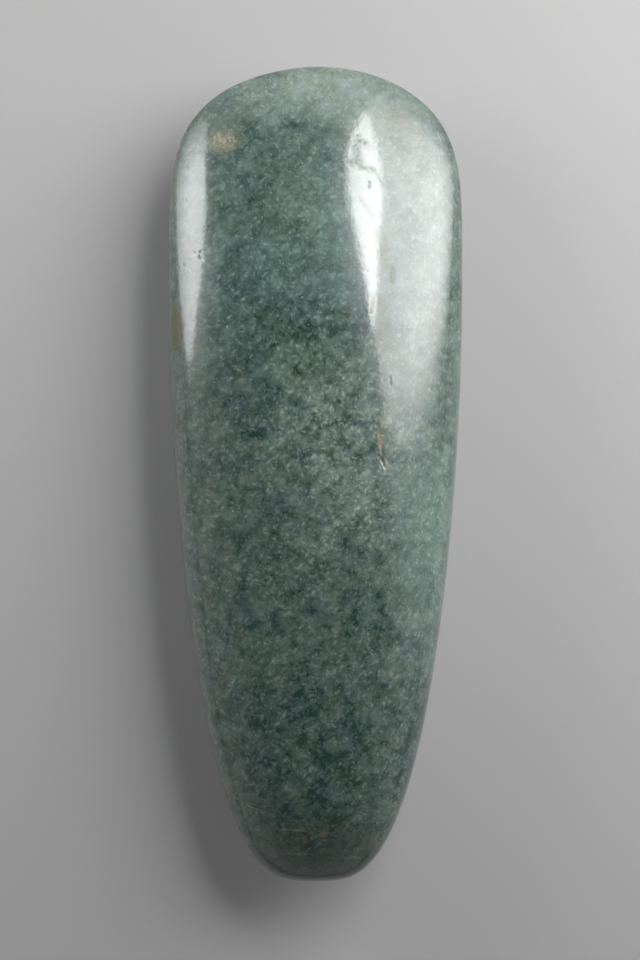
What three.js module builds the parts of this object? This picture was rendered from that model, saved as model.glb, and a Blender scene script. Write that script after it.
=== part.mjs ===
// A petaloid axe head, ground and polished from one piece of mottled blue-green jadeite.
// It lies on its belly: +Y runs along it towards the cutting edge, +X across it, and +Z up
// through its two broad faces. The origin is on the ground under the middle of its length,
// and sizes are in millimetres.
import * as THREE from 'three';
import { mergeVertices } from 'three/addons/utils/BufferGeometryUtils.js';

// The whole stone
const LENGTH = 240;
const WIDTH = 86.6;
const THICKNESS = 43;

// The outline seen from above, broad near the cutting edge and drawn in towards the poll
const WIDEST = 62.7; // back from the tip of the cutting edge
const BIT_OUTLINE = { along: 4.4, across: 1.86 };
const POLL_OUTLINE = { taper: 0.453, along: 8.9, across: 3.32 };

// The outline seen from the side, a wedge at the cutting edge and a blunt round poll
const THICKEST = 113; // back from the tip of the cutting edge
const BIT_WEDGE = { along: 2, across: 1.3 };
const POLL_ROUND = { taper: 0.5, along: 8, across: 2.6 };

// Cross-sections are ellipses, and close to the cutting edge they sharpen into lenses
const ELLIPSE = 0.5;
const LENS = 1;
const KEEN_REACH = 50; // how far back the sharpening fades out

// The cutting edge leans a little to the right at its tip, from resharpening
const EDGE_LEAN = 1;
const LEAN_REACH = 9;

// A small flat spot worn on the belly keeps the stone from rolling
const FLAT_DEPTH = 0.4;

// The facets: across the broad faces, along the stone, and through its thickness
const FACETS_ACROSS = 24;
const FACETS_ALONG = 56;
const FACETS_DEEP = 12;
const CAP_ANGLE = 0.42; // how much of each end, seen from the middle, is a cap

// Bluish-green stone with a high polish
const JADEITE = { color: 0x5c7468, roughness: 0.18, metalness: 0 };

// The height of a profile that rises from the cutting edge, peaks, tapers and closes at the poll
function profile(fromTip, peak, height, bit, poll) {
  if (fromTip < peak) {
    const toTip = 1 - fromTip / peak;
    return height * (1 - toTip ** bit.along) ** (1 / bit.across);
  }
  const toPoll = Math.min(1, (fromTip - peak) / (LENGTH - peak));
  const taper = 1 - poll.taper * toPoll ** 2;
  return height * taper * (1 - toPoll ** poll.along) ** (1 / poll.across);
}

// The angle around the stone of a point on a unit square, from the right side through the top
function angleAround(across, up) {
  const eighth = Math.PI / 4;
  if (across === 0 && up === 0) {
    return 0;
  }
  if (Math.abs(across) >= Math.abs(up)) {
    const side = eighth * (up / across);
    return across > 0 ? side : Math.PI + side;
  }
  const lean = eighth * (across / up);
  return up > 0 ? 2 * eighth - lean : -2 * eighth - lean;
}

// The angle along the stone of a point on the unit box: 0 at the tip, PI at the poll
function angleAlong(box) {
  const ring = Math.max(Math.abs(box.x), Math.abs(box.z));
  if (ring < 1) {
    const fromEnd = ring * CAP_ANGLE;
    return box.y > 0 ? fromEnd : Math.PI - fromEnd;
  }
  const middle = Math.PI / 2;
  return middle - box.y * (middle - CAP_ANGLE);
}

// The point on the ground stone for a point on the unit box
function onStone(box) {
  const along = angleAlong(box);
  const around = angleAround(box.x, box.z);
  const fromTip = (LENGTH / 2) * (1 - Math.cos(along));
  const halfWidth = profile(fromTip, WIDEST, WIDTH / 2, BIT_OUTLINE, POLL_OUTLINE);
  const halfThickness = profile(fromTip, THICKEST, THICKNESS / 2, BIT_WEDGE, POLL_ROUND);

  const keen = Math.max(0, 1 - fromTip / KEEN_REACH) ** 2;
  const section = ELLIPSE + (LENS - ELLIPSE) * keen;
  const up = Math.sin(around);
  const out = Math.sqrt(Math.max(0, 1 - Math.abs(up) ** (1 / section)));
  const lean = EDGE_LEAN * Math.max(0, 1 - fromTip / LEAN_REACH) ** 2;

  const middleHeight = THICKNESS / 2 - FLAT_DEPTH;
  return new THREE.Vector3(
    Math.sign(Math.cos(around)) * halfWidth * out + lean,
    LENGTH / 2 - fromTip,
    Math.max(0, middleHeight + halfThickness * up),
  );
}

function stoneGeometry() {
  const box = new THREE.BoxGeometry(2, 2, 2, FACETS_ACROSS, FACETS_ALONG, FACETS_DEEP);
  box.deleteAttribute('normal');
  box.deleteAttribute('uv');
  const stone = mergeVertices(box);
  const places = stone.getAttribute('position');
  const place = new THREE.Vector3();
  for (let i = 0; i < places.count; i += 1) {
    place.fromBufferAttribute(places, i);
    const moved = onStone(place);
    places.setXYZ(i, moved.x, moved.y, moved.z);
  }
  stone.computeVertexNormals();
  return stone;
}

const axeHead = new THREE.Mesh(stoneGeometry(), new THREE.MeshStandardMaterial(JADEITE));
axeHead.name = 'axe_head';

const group = new THREE.Group();
group.add(axeHead);

export default group;
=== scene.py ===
import math

import bmesh
import bpy
import numpy as np
from mathutils import Matrix, Vector


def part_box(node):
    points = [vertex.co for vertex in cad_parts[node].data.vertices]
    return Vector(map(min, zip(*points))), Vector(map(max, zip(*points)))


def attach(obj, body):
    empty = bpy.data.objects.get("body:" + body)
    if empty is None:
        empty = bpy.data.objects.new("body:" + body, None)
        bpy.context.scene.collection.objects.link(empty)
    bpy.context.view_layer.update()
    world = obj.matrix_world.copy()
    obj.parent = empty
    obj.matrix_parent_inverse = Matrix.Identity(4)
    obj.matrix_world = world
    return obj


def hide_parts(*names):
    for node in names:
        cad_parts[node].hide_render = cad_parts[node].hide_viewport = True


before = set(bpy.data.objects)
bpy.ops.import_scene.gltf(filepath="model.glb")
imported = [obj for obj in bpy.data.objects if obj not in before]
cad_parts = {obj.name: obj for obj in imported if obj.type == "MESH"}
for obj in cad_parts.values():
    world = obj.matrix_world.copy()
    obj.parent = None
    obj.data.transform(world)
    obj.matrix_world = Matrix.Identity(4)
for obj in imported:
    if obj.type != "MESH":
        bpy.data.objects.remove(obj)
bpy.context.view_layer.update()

MM = 0.001
STONE = "axe_head"
low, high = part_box(STONE)

# The camera looks straight down on the lying stone, with the cutting edge at the top of the
# picture, through a 90 mm lens on a full frame, as a studio photograph of such a piece is taken.
LENS = 90.0
SENSOR = 36.0
PICTURE_HEIGHT = 282.9 * MM  # as much as the picture's height takes in at the stone's edge
PICTURE_ROWS = 960
STONE_OFF_CENTRE = (-4.4, 6.25)  # in pixels: the stone lies a little left of and above the centre

pixel = PICTURE_HEIGHT / PICTURE_ROWS
edge_height = (low.z + high.z) / 2
camera_height = edge_height + PICTURE_HEIGHT * LENS / SENSOR
camera = bpy.data.objects.new("camera", bpy.data.cameras.new("camera"))
camera.data.lens = LENS
camera.data.sensor_width = SENSOR
camera.location = (-STONE_OFF_CENTRE[0] * pixel, -STONE_OFF_CENTRE[1] * pixel, camera_height)
bpy.context.scene.collection.objects.link(camera)
bpy.context.scene.camera = camera


# The axe head is one piece of jadeite, pecked and ground to the shape of a petal with a curved
# cutting edge, and polished all over. It keeps the frame's form, with a finer surface, and has the
# pits, scratches and the iron-stained fissure of the old stone.
LENGTH = high.y - low.y
WIDTH = high.x - low.x
THICKNESS = 43.0 * MM
FLAT_DEPTH = THICKNESS - (high.z - low.z)

WIDEST = 62.7 * MM
BIT_OUTLINE = {"along": 4.4, "across": 1.86}
POLL_OUTLINE = {"taper": 0.453, "along": 8.9, "across": 3.32}
THICKEST = 113.0 * MM
BIT_WEDGE = {"along": 2.0, "across": 1.3}
POLL_ROUND = {"taper": 0.5, "along": 8.0, "across": 2.6}
ELLIPSE = 0.5
LENS_SHAPE = 1.0
KEEN_REACH = 50.0 * MM
EDGE_LEAN = 1.0 * MM
LEAN_REACH = 9.0 * MM
CAP_ANGLE = 0.42

FACES_ACROSS = 88
FACES_ALONG = 208
FACES_DEEP = 40
ROUNDING = 1e-6  # how far off a place on the box may be


def profile(from_tip, peak, height, bit, poll):
    """The height of a curve that rises from the cutting edge, peaks, tapers and closes."""
    to_tip = np.clip(1 - from_tip / peak, 0, 1)
    to_poll = np.clip((from_tip - peak) / (LENGTH - peak), 0, 1)
    rise = (1 - to_tip ** bit["along"]) ** (1 / bit["across"])
    fall = (1 - poll["taper"] * to_poll**2) * (1 - to_poll ** poll["along"]) ** (1 / poll["across"])
    return height * np.where(from_tip < peak, rise, fall)


def angle_around(across, up):
    """The angle around the stone of points on a unit square, from the right side through the top."""
    eighth = math.pi / 4
    at_side = np.abs(across) >= np.abs(up)
    side = eighth * up / np.where(across == 0, 1, across) + np.where(across < 0, math.pi, 0)
    lean = eighth * across / np.where(up == 0, 1, up)
    face = np.where(up > 0, 2 * eighth, -2 * eighth) - lean
    return np.where(at_side, side, face)


def on_stone(box):
    """Where points on the unit box come to lie on the ground stone."""
    ring = np.maximum(np.abs(box[:, 0]), np.abs(box[:, 2]))
    end = np.where(box[:, 1] > 0, ring * CAP_ANGLE, math.pi - ring * CAP_ANGLE)
    middle = math.pi / 2
    along = np.where(ring < 1 - ROUNDING, end, middle - box[:, 1] * (middle - CAP_ANGLE))
    around = angle_around(box[:, 0], box[:, 2])

    from_tip = LENGTH / 2 * (1 - np.cos(along))
    half_width = profile(from_tip, WIDEST, WIDTH / 2, BIT_OUTLINE, POLL_OUTLINE)
    half_thickness = profile(from_tip, THICKEST, THICKNESS / 2, BIT_WEDGE, POLL_ROUND)
    keen = np.clip(1 - from_tip / KEEN_REACH, 0, 1) ** 2
    section = ELLIPSE + (LENS_SHAPE - ELLIPSE) * keen
    up = np.sin(around)
    out = np.sqrt(np.clip(1 - np.abs(up) ** (1 / section), 0, 1))
    lean = EDGE_LEAN * np.clip(1 - from_tip / LEAN_REACH, 0, 1) ** 2
    middle_height = THICKNESS / 2 - FLAT_DEPTH
    return np.stack([
        np.sign(np.cos(around)) * half_width * out + lean,
        LENGTH / 2 - from_tip,
        np.maximum(0, middle_height + half_thickness * up),
    ], axis=1)


def cut_along(form, axis, parts):
    """Cuts every full-length edge along one axis of the box into equal parts."""
    edges = [e for e in form.edges if abs(e.verts[0].co[axis] - e.verts[1].co[axis]) > 1]
    bmesh.ops.subdivide_edges(form, edges=edges, cuts=parts - 1, use_grid_fill=True)


# The marks on the face that shows, in millimetres from the middle of the stone: their place, half
# their breadth, their depth, how strongly earth, iron or lime has stained them, and how dull they are
STAINS = ("soil", "rust", "chalk", "dull")
marks = []


def mark(start, end=None, half_width=0.5, depth=0.0, **stains):
    """Notes a pit, or a scratch where it has an end, to be sunk and stained."""
    marks.append((start, end or start, half_width * MM, depth * MM, stains))


# The fissure beside the right highlight, rusty above, chalky below, with an open slit
FILLED = 0.01  # its depth where earth fills it
mark((18.2, 12.9), (18.4, 10.5), half_width=0.45, depth=FILLED, rust=0.45)
mark((18.4, 10.8), (18.7, 8.4), half_width=0.65, depth=0.015, rust=0.75)
mark((18.6, 7.8), (18.9, 5.2), half_width=0.45, depth=FILLED, chalk=0.4)
mark((19.4, 5.1), (20.6, 2.7), half_width=0.55, depth=FILLED, chalk=0.4)
mark((20.4, 2.6), (20.0, 0.0), half_width=0.55, depth=FILLED, chalk=0.35, rust=0.12)
mark((18.9, 4.2), (19.9, 2.0), half_width=0.55, depth=0.15, soil=1.2, dull=1.0)

# Hollows left by the pecking, which the polish barely reached, where the right highlight is bright
HOLLOW = 0.01
SHALLOW = 0.005
mark((12.4, 98.3), half_width=1.1, depth=HOLLOW, soil=0.2, dull=0.5)
mark((11.9, 97.0), (14.4, 96.2), half_width=1.6, depth=HOLLOW, soil=0.2, dull=0.5)
mark((11.8, 94.9), (11.7, 91.0), half_width=1.9, depth=HOLLOW, dull=0.5)
mark((9.9, 90.4), (12.6, 90.2), half_width=1.9, depth=HOLLOW, soil=0.15, dull=0.5)
mark((13.0, 88.8), (16.6, 88.2), half_width=1.5, depth=HOLLOW, soil=0.1, dull=0.45)
mark((17.3, 87.8), (19.6, 84.0), half_width=0.8, depth=SHALLOW, soil=0.1, dull=0.3)
mark((15.5, 84.3), (15.6, 83.0), half_width=0.9, depth=HOLLOW, soil=0.35, dull=0.55)
mark((13.0, 79.0), (16.5, 74.5), half_width=1.1, depth=SHALLOW, dull=0.2)
mark((16.8, 50.4), (16.1, 46.2), half_width=1.1, depth=HOLLOW, soil=0.5, rust=0.1, dull=0.4)
mark((31.2, 78.5), (31.2, 75.6), half_width=1.0, depth=HOLLOW, soil=0.25, dull=0.25)
mark((34.8, 78.0), (34.8, 75.2), half_width=0.8, depth=HOLLOW, soil=0.25, dull=0.25)

# Chalky flecks on the same side, and a dark nick below them
for fleck in ((20.9, 90.7), (21.6, 86.9), (33.4, 83.6)):
    mark(fleck, half_width=0.7, chalk=0.4)
mark((21.5, 27.5), (21.7, 25.4), half_width=0.45, depth=0.03, soil=0.8)

# Tan films of old earth beside them and on both shoulders
mark((18.8, 70.0), (19.9, 61.0), half_width=3.2, soil=0.36)
mark((22.1, 59.4), (22.3, 55.6), half_width=1.2, soil=0.5)
mark((18.6, 49.0), (20.6, 36.0), half_width=3.4, soil=0.28)
mark((22.0, 104.0), (29.0, 99.0), half_width=6.0, soil=0.14, chalk=0.08)
mark((-41.8, 92.0), (-42.2, 80.0), half_width=3.4, soil=0.2, chalk=0.14)

# Pits in the left highlight and at the cutting edge
PIT_DEPTH = 0.03
for x, y, size in ((-37.7, 90.4, 0.6), (-37.8, 80.2, 0.4), (-35.2, 64.6, 0.5), (-33.8, 63.0, 0.6),
                   (-33.5, 64.2, 0.35), (-38.5, 61.2, 0.45), (-40.2, 60.4, 0.5), (-36.6, 62.4, 0.3),
                   (-1.3, 110.2, 0.6), (4.2, 110.2, 0.6), (-9.0, 116.6, 0.8), (4.8, 118.2, 0.7)):
    mark((x, y), (x + size / 2, y - size), half_width=size, depth=PIT_DEPTH, soil=0.6)

# The ochre stain on the left edge, two pale flecks, and reddish spots near the poll
mark((-41.0, 46.6), (-41.2, 39.6), half_width=4.4, soil=0.9)
mark((-40.4, 45.0), (-40.0, 43.0), half_width=1.6, depth=0.01, rust=0.18, soil=0.9)
mark((-38.6, 43.2), (-38.8, 41.8), half_width=1.5, depth=0.01, soil=0.5, dull=0.5)
mark((-32.1, -30.3), half_width=0.8, rust=0.2, chalk=0.4)
mark((-31.7, -82.9), half_width=0.8, chalk=0.6)
for spot in ((2.2, -104.8), (-3.1, -106.4)):
    mark(spot, half_width=1.4, rust=0.13, soil=0.3)

# The chalky patch near the left of the cutting edge, with short strokes side by side across it
PATCH_MIDDLE = (-26.7, 96.8)
PATCH_HALF = 1.4
STROKES = 5
STROKES_UP = 0.6  # above the middle of the patch
STROKE_APART = 1.4
STROKE_LENGTH = 2.6
STROKE_LEAN = 0.35

x, y = PATCH_MIDDLE
mark((x - PATCH_HALF, y), (x + PATCH_HALF, y), half_width=4.4, chalk=0.38, rust=0.05)
for stroke in range(STROKES):
    middle = x + (stroke - (STROKES - 1) / 2) * STROKE_APART
    lean = STROKE_LEAN * math.sin(2.4 * stroke)
    foot = y + STROKES_UP - STROKE_LENGTH / 2 + 3 * lean
    mark((middle - lean, foot + STROKE_LENGTH), (middle + lean, foot),
         half_width=0.6, depth=0.02, chalk=0.6)

# Scratches across the poll, from its use as a hammer or a wedge
SCRATCH_DEPTH = 0.03
for start, end in (((-8.0, -110.5), (-0.7, -110.7)), ((-7.4, -100.7), (-2.5, -100.3)),
                   ((-9.4, -103.2), (-2.8, -103.6)), ((-19.5, -96.8), (-15.5, -98.0))):
    mark(start, end, half_width=0.3, depth=SCRATCH_DEPTH, chalk=0.16)


def on_face(point, places):
    """The place on the face that shows which is nearest to a point given in millimetres."""
    apart = np.hypot(*(places[:, :2] - np.array(point) * MM).T)
    hidden = places[:, 2] < THICKNESS / 2
    return places[np.where(hidden, math.inf, apart).argmin()]


def away_from(start, end, places):
    """How far places on the stone are from a mark, along a straight line through the stone."""
    first = on_face(start, places)
    line = on_face(end, places) - first
    share = np.clip((places - first) @ line / max(line @ line, ROUNDING**2), 0, 1)
    return np.linalg.norm(places - first - share[:, None] * line, axis=1)


form = bmesh.new()
bmesh.ops.create_cube(form, size=2)
cut_along(form, 0, FACES_ACROSS)
cut_along(form, 1, FACES_ALONG)
cut_along(form, 2, FACES_DEEP)

# Around the marks the faces are cut finer, so that the thinnest scratch is sunk. Broad soft stains
# have no need of it.
FINE_CUTS = 3
MARK_MARGIN = 1.2 * MM
BROAD_STAIN = 2.0 * MM

form.verts.ensure_lookup_table()
places = on_stone(np.array([vertex.co for vertex in form.verts]))
near = np.zeros(len(places), dtype=bool)
for start, end, half_width, depth, stains in marks:
    if half_width < BROAD_STAIN:
        near |= away_from(start, end, places) < half_width + MARK_MARGIN
edges = [e for e in form.edges if near[e.verts[0].index] and near[e.verts[1].index]]
bmesh.ops.subdivide_edges(form, edges=edges, cuts=FINE_CUTS, use_grid_fill=True)
mesh = bpy.data.meshes.new("jadeite_axe_head")
form.to_mesh(mesh)
form.free()

places = np.empty(len(mesh.vertices) * 3)
mesh.vertices.foreach_get("co", places)
places = on_stone(places.reshape(-1, 3))
mesh.vertices.foreach_set("co", places.ravel())
mesh.update()

# The marks are sunk into the stone with ragged rims, and their stains kept for the surface
RAGGED = 0.12 * MM
RAGGED_PER_MM = (2.3, 3.1, 2.7)
SOFT_RIM = 0.15  # how far a stain spreads past its half width, as a share of it

outward = np.empty(len(places) * 3)
mesh.vertex_normals.foreach_get("vector", outward)
outward = outward.reshape(-1, 3)
waves = np.sin(places / MM * RAGGED_PER_MM) + np.sin(places[:, ::-1] / MM * RAGGED_PER_MM)
ragged = RAGGED * waves.sum(axis=1) / 3
sunk = np.zeros(len(places))
stained = np.zeros((len(places), 4))
for start, end, half_width, depth, stains in marks:
    from_line = (away_from(start, end, places) + ragged) / half_width
    inside = np.clip(1 + SOFT_RIM - from_line, 0, 1)
    inside = inside**2 * (3 - 2 * inside)
    sunk = np.maximum(sunk, depth * inside)
    for stain, amount in stains.items():
        channel = stained[:, STAINS.index(stain)]
        np.maximum(channel, amount * inside, out=channel)
places -= outward * sunk[:, None]
mesh.vertices.foreach_set("co", places.ravel())
kept_stains = mesh.color_attributes.new("stains", "FLOAT_COLOR", "POINT")
kept_stains.data.foreach_set("color", stained.ravel())
mesh.shade_smooth()
mesh.update()

axe_head = bpy.data.objects.new("jadeite_axe_head", mesh)
bpy.context.scene.collection.objects.link(axe_head)

# Jadeite is a felt of interlocking crystals a millimetre or so long. Pale grey-green blades lie in
# a dark teal ground, in olive, teal and bluish clouds, under a high polish worn dull in places.
jadeite = bpy.data.materials.new("polished_jadeite")
jadeite.use_nodes = True
surface = jadeite.node_tree.nodes["Principled BSDF"]


def linear(red, green, blue):
    """A colour as a screen shows it, from 0 to 255, in the shader's own linear values."""
    shades = [c / 255 for c in (red, green, blue)]
    return [((s + 0.055) / 1.055) ** 2.4 if s > 0.04045 else s / 12.92 for s in shades] + [1]


def node_beside(kind, *values):
    """A new node in the tree of the first of these values that is a node's socket."""
    tree = next(v.id_data for v in values if isinstance(v, bpy.types.NodeSocket))
    return tree.nodes.new(kind)


def feed(socket, value):
    """Joins a node's output to an input, or sets the input to a number, vector or colour."""
    if isinstance(value, bpy.types.NodeSocket):
        socket.id_data.links.new(value, socket)
    else:
        socket.default_value = value


def reckon(operation, *values):
    """A sum on numbers: MULTIPLY, ADD, SUBTRACT, MAXIMUM and so on."""
    node = node_beside("ShaderNodeMath", *values)
    node.operation = operation
    for socket, value in zip(node.inputs, values):
        feed(socket, value)
    return node.outputs[0]


def reckon_place(operation, *values):
    """A sum on places."""
    node = node_beside("ShaderNodeVectorMath", *values)
    node.operation = operation
    for socket, value in zip(node.inputs, values):
        feed(socket, value)
    return node.outputs["Value" if operation == "LENGTH" else "Vector"]


def grade(value, start, stop, first=0.0, last=1.0):
    """A soft step from first to last as the value goes from start to stop."""
    node = node_beside("ShaderNodeMapRange", value)
    node.interpolation_type = "SMOOTHSTEP"
    for socket, number in zip(node.inputs, (value, start, stop, first, last)):
        feed(socket, number)
    return node.outputs["Result"]


def blend(amount, under, over):
    """One colour laid over another by an amount."""
    node = node_beside("ShaderNodeMix", amount, under, over)
    node.data_type = "RGBA"
    feed(node.inputs["Factor"], amount)
    feed(node.inputs["A"], under)
    feed(node.inputs["B"], over)
    return node.outputs["Result"]


def turned(place, stretch, turn=(0, 0, 0), shift=(0, 0, 0)):
    """A place stretched, turned by degrees and shifted, so that a pattern gets a grain."""
    node = node_beside("ShaderNodeMapping", place)
    node.vector_type = "POINT"
    feed(node.inputs["Vector"], place)
    node.inputs["Location"].default_value = shift
    node.inputs["Rotation"].default_value = [math.radians(d) for d in turn]
    node.inputs["Scale"].default_value = stretch
    return node.outputs["Vector"]


def cloud(place, per_mm, detail=3.0, rough=0.5, output="Fac"):
    """Soft clouds, so many to the millimetre."""
    node = node_beside("ShaderNodeTexNoise", place)
    feed(node.inputs["Vector"], place)
    node.inputs["Scale"].default_value = per_mm
    node.inputs["Detail"].default_value = detail
    node.inputs["Roughness"].default_value = rough
    return node.outputs[output]


def grains(place, per_mm):
    """Cells: how far a point is from the middle of its grain, and the grain's own random number."""
    node = node_beside("ShaderNodeTexVoronoi", place)
    feed(node.inputs["Vector"], place)
    node.inputs["Scale"].default_value = per_mm
    number = node_beside("ShaderNodeSeparateColor", place)
    feed(number.inputs[0], node.outputs["Color"])
    return node.outputs["Distance"], number.outputs[0]


def oval(place, middle, reach, turn=0):
    """A soft oval cloud: 1 in its middle, 0 from its reach outwards, turned by degrees."""
    node = node_beside("ShaderNodeMapping", place)
    node.vector_type = "TEXTURE"
    feed(node.inputs["Vector"], place)
    node.inputs["Location"].default_value = (*middle, 0)
    node.inputs["Rotation"].default_value = (0, 0, math.radians(turn))
    node.inputs["Scale"].default_value = (*reach, 1 / MM)
    return grade(reckon_place("LENGTH", node.outputs["Vector"]), 1.0, 0.2)


def strayed(place, per_mm, detail, far):
    """Places moved by soft clouds, up to so many millimetres each way."""
    stray = reckon_place("SUBTRACT", cloud(place, per_mm, detail, output="Color"), (0.5,) * 3)
    return reckon_place("ADD", place, reckon_place("MULTIPLY", stray, (2 * far,) * 3))


object_place = jadeite.node_tree.nodes.new("ShaderNodeTexCoord").outputs["Object"]
place = turned(object_place, (1 / MM, 1 / MM, 1 / MM))

# The felt: sets of blades, each with its own direction in degrees and its length and width in
# millimetres, bent round each other, with clumps of crystals, small dark grains, and small bright
# grains that are partly pale crystals and partly painted glints
BLADE_SETS = ((20, 2.6, 1.0), (80, 2.0, 0.8), (140, 3.2, 1.2))
BLADE_TILT = (20, 30)
BEND = 0.8
BENDS_PER_MM = 0.4
CLUMPS_PER_MM = 0.3
MOTTLES_PER_MM = 0.13
GRAINS_PER_MM = 0.55

bent = strayed(place, BENDS_PER_MM, 2, BEND)
blades = 0.0
for turn, length, width in BLADE_SETS:
    leaning = turned(bent, (1, 1, 1), (*BLADE_TILT, turn), (turn, 0, 0))
    leaning = turned(leaning, (1 / length, 1 / width, 1 / width))
    from_middle, number = grains(leaning, 1.0)
    blades = reckon("MULTIPLY_ADD", grade(from_middle, 0.58, 0.05), grade(number, 0.4, 1.0), blades)

clumps = cloud(bent, CLUMPS_PER_MM, 5, 0.72)
mottle = cloud(turned(place, (1, 1, 1), shift=(30, 0, 0)), MOTTLES_PER_MM, 3, 0.55)
from_middle, number = grains(place, GRAINS_PER_MM)
grain = grade(from_middle, 0.22, 0.04)
# Bright grains: partly pale crystals, partly painted glints
bright_grain_and_glint = reckon("MULTIPLY", grain, grade(number, 0.7, 0.95))
dark_grain = reckon("MULTIPLY", grain, grade(number, 0.25, 0.05))

# The veils, by their middle, their reach and how much paler they are: the cutting edge is pale,
# partly its own tone and partly a painted sheen of the light above it; the right side is pale; the
# poll is dark, partly its own tone and partly painted shade; and a band above the middle is dark
CUTTING_EDGE_TONE_AND_SHEEN = ((-2, 124), (62, 34), 0.26)
CUTTING_EDGE_MIDDLE_TONE_AND_SHEEN = ((2, 109), (26, 14), 0.24)
UPPER_FACE = ((-4, 68), (40, 34), 0.06)
RIGHT_SIDE = ((30, -18), (15, 52), 0.2)
POLL_TONE_AND_SHADE = ((2, -84), (46, 40), -0.08)
ABOVE_MIDDLE = ((4, 38), (26, 18), -0.08)
WANDER = 18.0
WANDERS_PER_MM = 0.035

drifted = strayed(place, WANDERS_PER_MM, 3, WANDER)
veils_with_painted_light = 0.0
for middle, reach, paler in (
        CUTTING_EDGE_TONE_AND_SHEEN, CUTTING_EDGE_MIDDLE_TONE_AND_SHEEN, UPPER_FACE, RIGHT_SIDE, POLL_TONE_AND_SHADE, ABOVE_MIDDLE):
    veils_with_painted_light = reckon("MULTIPLY_ADD", oval(drifted, middle, reach), paler, veils_with_painted_light)

# The felt is thickest in the middle of the face
THICK_MIDDLE = (6, 8)
THICK_REACH = (30, 42)
THICK_TURN = 12
THINNEST = 0.75
THICKER = 0.5

thick = oval(drifted, THICK_MIDDLE, THICK_REACH, THICK_TURN)
thick = reckon("MULTIPLY_ADD", thick, THICKER, THINNEST)

# How light each spot of the stone is, from 0 for the dark ground to 1 for a pale blade. Pairs run
# from the least to the most.
BLADE_LIGHT = 0.36
CLUMP_LIGHT = (-0.02, 0.5)
MOTTLE_LIGHT = (-0.06, 0.08)
BRIGHT_GRAIN_AND_GLINT = 0.5
DARK_GRAIN = -0.3

light = reckon("MULTIPLY_ADD", reckon("MULTIPLY", blades, thick), BLADE_LIGHT, veils_with_painted_light)
light = reckon("MULTIPLY_ADD", grade(clumps, 0.24, 0.8, *CLUMP_LIGHT), thick, light)
light = reckon("ADD", light, grade(mottle, 0.32, 0.68, *MOTTLE_LIGHT))
light = reckon("MULTIPLY_ADD", bright_grain_and_glint, BRIGHT_GRAIN_AND_GLINT, light)
light = reckon("MULTIPLY_ADD", dark_grain, DARK_GRAIN, light)

# The colours, from screen shades: the ground leans to green, blue or olive from cloud to cloud,
# and the pale crystals with it
GREEN_GROUND = linear(30, 61, 54)
BLUE_GROUND = linear(31, 58, 58)
OLIVE_GROUND = linear(38, 62, 46)
GREEN_BLADE = linear(151, 169, 157)
BLUE_BLADE = linear(149, 167, 163)
TAN_BLADE = linear(157, 168, 150)
TEAL_BLADE = linear(141, 171, 161)
OLIVE_MIDDLES = ((-7, 77), (-2, 31))
OLIVE_REACH = (16, 14)
BLUE_MIDDLES = ((8, 106), (-24, 61), (7, 54), (30, -60))
BLUE_REACH = (14, 14)
TEAL_RIGHT_SIDE = ((32, -18), (22, 60))
TEAL_ON_THE_RIGHT = 0.6
TEAL_UPPER_FACE = ((-6, 62), (48, 52))
HUES_PER_MM = 0.16

hue = cloud(turned(bent, (1, 1, 1), shift=(0, 0, 50)), HUES_PER_MM, 4, 0.65)
olive = grade(hue, 0.52, 0.72)
blue = grade(hue, 0.5, 0.3)
teal = reckon("MULTIPLY", oval(drifted, *TEAL_RIGHT_SIDE), TEAL_ON_THE_RIGHT)
teal = reckon("MAXIMUM", teal, oval(drifted, *TEAL_UPPER_FACE))
blade_colour = blend(blue, GREEN_BLADE, BLUE_BLADE)
blade_colour = blend(olive, blade_colour, TAN_BLADE)
blade_colour = blend(teal, blade_colour, TEAL_BLADE)
for middle in OLIVE_MIDDLES:
    olive = reckon("MAXIMUM", olive, oval(drifted, middle, OLIVE_REACH))
for middle in BLUE_MIDDLES:
    blue = reckon("MAXIMUM", blue, oval(drifted, middle, BLUE_REACH))
ground_colour = blend(blue, GREEN_GROUND, BLUE_GROUND)
ground_colour = blend(olive, ground_colour, OLIVE_GROUND)
stone_colour = blend(light, ground_colour, blade_colour)

# Painted shade on the poll: a dark brownish tint that darkens its end as if it lay in shadow
POLL_PAINTED_SHADE = linear(24, 24, 16)
POLL_PAINTED_SHADE_MIDDLE = (0, -124)
POLL_PAINTED_SHADE_REACH = (60, 34)
POLL_PAINTED_SHADE_STRENGTH = 0.62

poll_shade = reckon("MULTIPLY", oval(place, POLL_PAINTED_SHADE_MIDDLE, POLL_PAINTED_SHADE_REACH), POLL_PAINTED_SHADE_STRENGTH)
stone_colour = blend(poll_shade, stone_colour, POLL_PAINTED_SHADE)

# The stains, kept on the mesh and broken up into blotches. The attribute's alpha says how dull
# the surface is, and a strong stain dulls it too.
SOIL = linear(92, 86, 50)
RUST = linear(152, 102, 44)
CHALK = linear(182, 176, 146)
STAIN_DULLS = 0.8
BLOTCHES_PER_MM = 1.3

stains = node_beside("ShaderNodeVertexColor", object_place)
stains.layer_name = "stains"
channels = node_beside("ShaderNodeSeparateColor", object_place)
feed(channels.inputs[0], stains.outputs["Color"])
blotches = grade(cloud(place, BLOTCHES_PER_MM, 3, 0.6), 0.38, 0.6, 0.5, 1.25)
worn = reckon("MULTIPLY", stains.outputs["Alpha"], blotches)
for channel, colour in zip(channels.outputs, (SOIL, RUST, CHALK)):
    amount = reckon("MULTIPLY", channel, blotches)
    stone_colour = blend(amount, stone_colour, colour)
    worn = reckon("MAXIMUM", worn, reckon("MULTIPLY", amount, STAIN_DULLS))
feed(surface.inputs["Base Color"], stone_colour)

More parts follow.
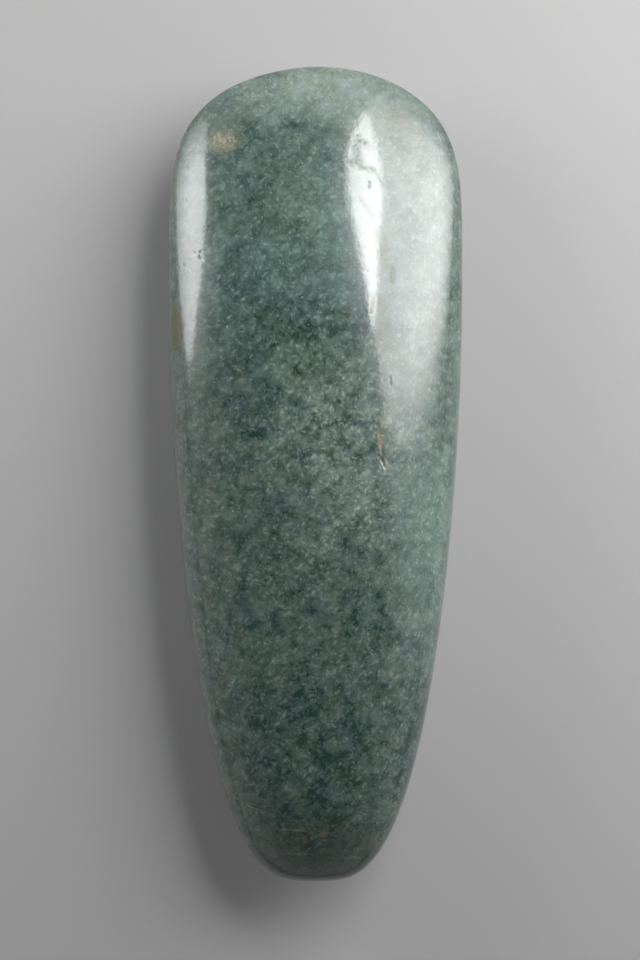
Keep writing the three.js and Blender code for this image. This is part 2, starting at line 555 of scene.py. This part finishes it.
# The polish: one sharp shine of wax and handling over the stone's own softer one, and none in
# the pits. Grinding along the stone left its surface very slightly wavy from side to side, and
# the harder crystals stand out by about a hundredth of a millimetre.
POLISHED = 0.27
WORN = 0.6
WAVES = 0.012
WAVES_PER_MM = (0.3, 0.03, 0.3)
RELIEF = 0.018
RELIEF_PER_MM = 0.9

surface.inputs["IOR"].default_value = 1.66
surface.inputs["Coat IOR"].default_value = 1.6
surface.inputs["Coat Roughness"].default_value = 0.03
feed(surface.inputs["Roughness"], grade(worn, 0.0, 1.0, POLISHED, WORN))
feed(surface.inputs["Coat Weight"], reckon("SUBTRACT", 1.0, worn))

wavy = cloud(turned(place, WAVES_PER_MM), 1.0, 2)
relief = cloud(place, RELIEF_PER_MM, 3, 0.6)
height = reckon("MULTIPLY_ADD", relief, RELIEF, reckon("MULTIPLY", wavy, WAVES))
bump = node_beside("ShaderNodeBump", height)
bump.inputs["Strength"].default_value = 1.0
bump.inputs["Distance"].default_value = MM
feed(bump.inputs["Height"], height)
feed(surface.inputs["Normal"], bump.outputs["Normal"])
feed(surface.inputs["Coat Normal"], bump.outputs["Normal"])
mesh.materials.append(jadeite)

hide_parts(STONE)
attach(axe_head, "root")


# The floor is a plain pale board.
FLOOR_TONE = 0.46

floor_mesh = bpy.data.meshes.new("floor")
form = bmesh.new()
bmesh.ops.create_grid(form, x_segments=1, y_segments=1, size=6)
form.to_mesh(floor_mesh)
form.free()
floor = bpy.data.objects.new("floor", floor_mesh)
bpy.context.scene.collection.objects.link(floor)
board = bpy.data.materials.new("pale_board")
board.use_nodes = True
board_surface = board.node_tree.nodes["Principled BSDF"]
board_surface.inputs["Base Color"].default_value = (FLOOR_TONE, FLOOR_TONE, FLOOR_TONE, 1)
board_surface.inputs["Roughness"].default_value = 0.9
floor_mesh.materials.append(board)


# Two soft boxes with rounded corners stand on either side of the cutting edge. Both are dimmer low
# down, and the right one is hottest in one corner, where its bulb is.
def soft_box(name, polar, azimuth, away, roll, middle, size, radiance):
    """A lamp facing the stone, rolled, and shifted along and up its own plane. Returns its emission
    node and the sockets that say how far along and up from its axis a point of it lies."""
    polar, azimuth, roll = (math.radians(angle) for angle in (polar, azimuth, roll))
    outward = Vector((
        math.sin(polar) * math.cos(azimuth), math.sin(polar) * math.sin(azimuth), math.cos(polar)))
    level = Vector((-math.sin(azimuth), math.cos(azimuth), 0))
    along = level * math.cos(roll) + outward.cross(level) * math.sin(roll)
    up = outward.cross(along)
    turn = Matrix((along, up, outward)).transposed()
    place = outward * away + along * middle[0] + up * middle[1] + Vector((0, 0, edge_height))

    lamp = bpy.data.objects.new(name, bpy.data.lights.new(name, "AREA"))
    lamp.data.shape = "RECTANGLE"
    lamp.data.size, lamp.data.size_y = size
    lamp.data.energy = radiance * math.pi * size[0] * size[1]
    lamp.matrix_world = Matrix.Translation(place) @ turn.to_4x4()
    lamp.visible_camera = False
    bpy.context.scene.collection.objects.link(lamp)

    lamp.data.use_nodes = True
    tree = lamp.data.node_tree
    parts = tree.nodes.new("ShaderNodeSeparateXYZ")
    feed(parts.inputs[0], tree.nodes.new("ShaderNodeNewGeometry").outputs["Parametric"])
    reach = [reckon("MULTIPLY_ADD", parts.outputs[side], size[side], middle[side] - size[side] / 2)
             for side in (0, 1)]
    return tree.nodes["Emission"], reach[0], reach[1]


def rounded(along, up, middle, half_size, squareness, soft):
    """1 inside a rectangle with rounded corners and 0 outside, with a soft rim."""
    shares = []
    for reach, centre, half in zip((along, up), middle, half_size):
        share = reckon("MULTIPLY_ADD", reach, 1 / half, -centre / half)
        shares.append(reckon("POWER", reckon("ABSOLUTE", share), squareness))
    return grade(reckon("ADD", *shares), 1 + soft, 1 - soft)


def shaded(shine, value, start, stop, first=0.0, last=1.0):
    """A shine times a soft step from first to last as the value goes from start to stop."""
    return reckon("MULTIPLY", shine, grade(value, start, stop, first, last))


# The right one fades out on the side of the poll, in the corner above that side and below a
# slanting line, and dims gently upwards and towards the cutting edge. Beyond a sharp slanting line
# in its other upper corner it is three times as bright.
emission, along, up = soft_box(
    "right_soft_box", polar=59, azimuth=37, away=0.5, roll=0,
    middle=(-0.03, 0.01), size=(0.74, 0.6), radiance=5.0)
shine = rounded(along, up, middle=(-0.08, -0.11), half_size=(0.39, 0.4), squareness=5, soft=0.12)
shine = shaded(shine, along, -0.35, -0.12)
shine = shaded(shine, along, 0.33, 0.0, 0.55, 1)
shine = shaded(shine, up, 0.27, -0.05, 0.8, 1.2)
slant = reckon("MULTIPLY_ADD", along, -0.45, up)
steep = grade(slant, -0.25, 0.01, 0, 0.7)
gentle = grade(slant, -0.55, 0.0, 0, 0.3)
shine = reckon("MULTIPLY", shine, reckon("ADD", steep, gentle))
shine = shaded(shine, reckon("SUBTRACT", up, along), 0.56, 0.3)
corner = reckon("MULTIPLY_ADD", along, 0.7, up)
shine = shaded(shine, corner, 0.27, 0.286, 1, 3.2)
feed(emission.inputs["Strength"], shine)

# The left one is rolled to lean with the stone's side, and dims downwards and towards the
# cutting edge
emission, along, up = soft_box(
    "left_soft_box", polar=90, azimuth=150, away=0.45, roll=-51.5,
    middle=(-0.1, 0.087), size=(0.44, 0.34), radiance=4.8)
shine = rounded(along, up, middle=(-0.1, 0.067), half_size=(0.2, 0.16), squareness=3, soft=0.16)
shine = shaded(shine, up, -0.11, 0.117, 0.15, 1)
slant = reckon("MULTIPLY_ADD", up, -0.8, along)
shine = shaded(shine, slant, 0.02, -0.34, 0.48, 1.16)
feed(emission.inputs["Strength"], shine)

# The room is dark overhead, behind the camera, and paler all round near the floor.
OVERHEAD = 0.05
AROUND = 0.3
OVERHEAD_FROM = 0.9  # the height of a direction, 1 being straight up
AROUND_FROM = 0.2

world = bpy.data.worlds.new("studio")
world.use_nodes = True
backdrop = world.node_tree.nodes["Background"]
direction = world.node_tree.nodes.new("ShaderNodeTexCoord").outputs["Generated"]
parts = node_beside("ShaderNodeSeparateXYZ", direction)
feed(parts.inputs[0], direction)
backdrop.inputs["Color"].default_value = (1, 1, 1, 1)
height = parts.outputs["Z"]
feed(backdrop.inputs["Strength"], grade(height, OVERHEAD_FROM, AROUND_FROM, OVERHEAD, AROUND))
bpy.context.scene.world = world
bpy.context.scene.view_settings.view_transform = "Standard"
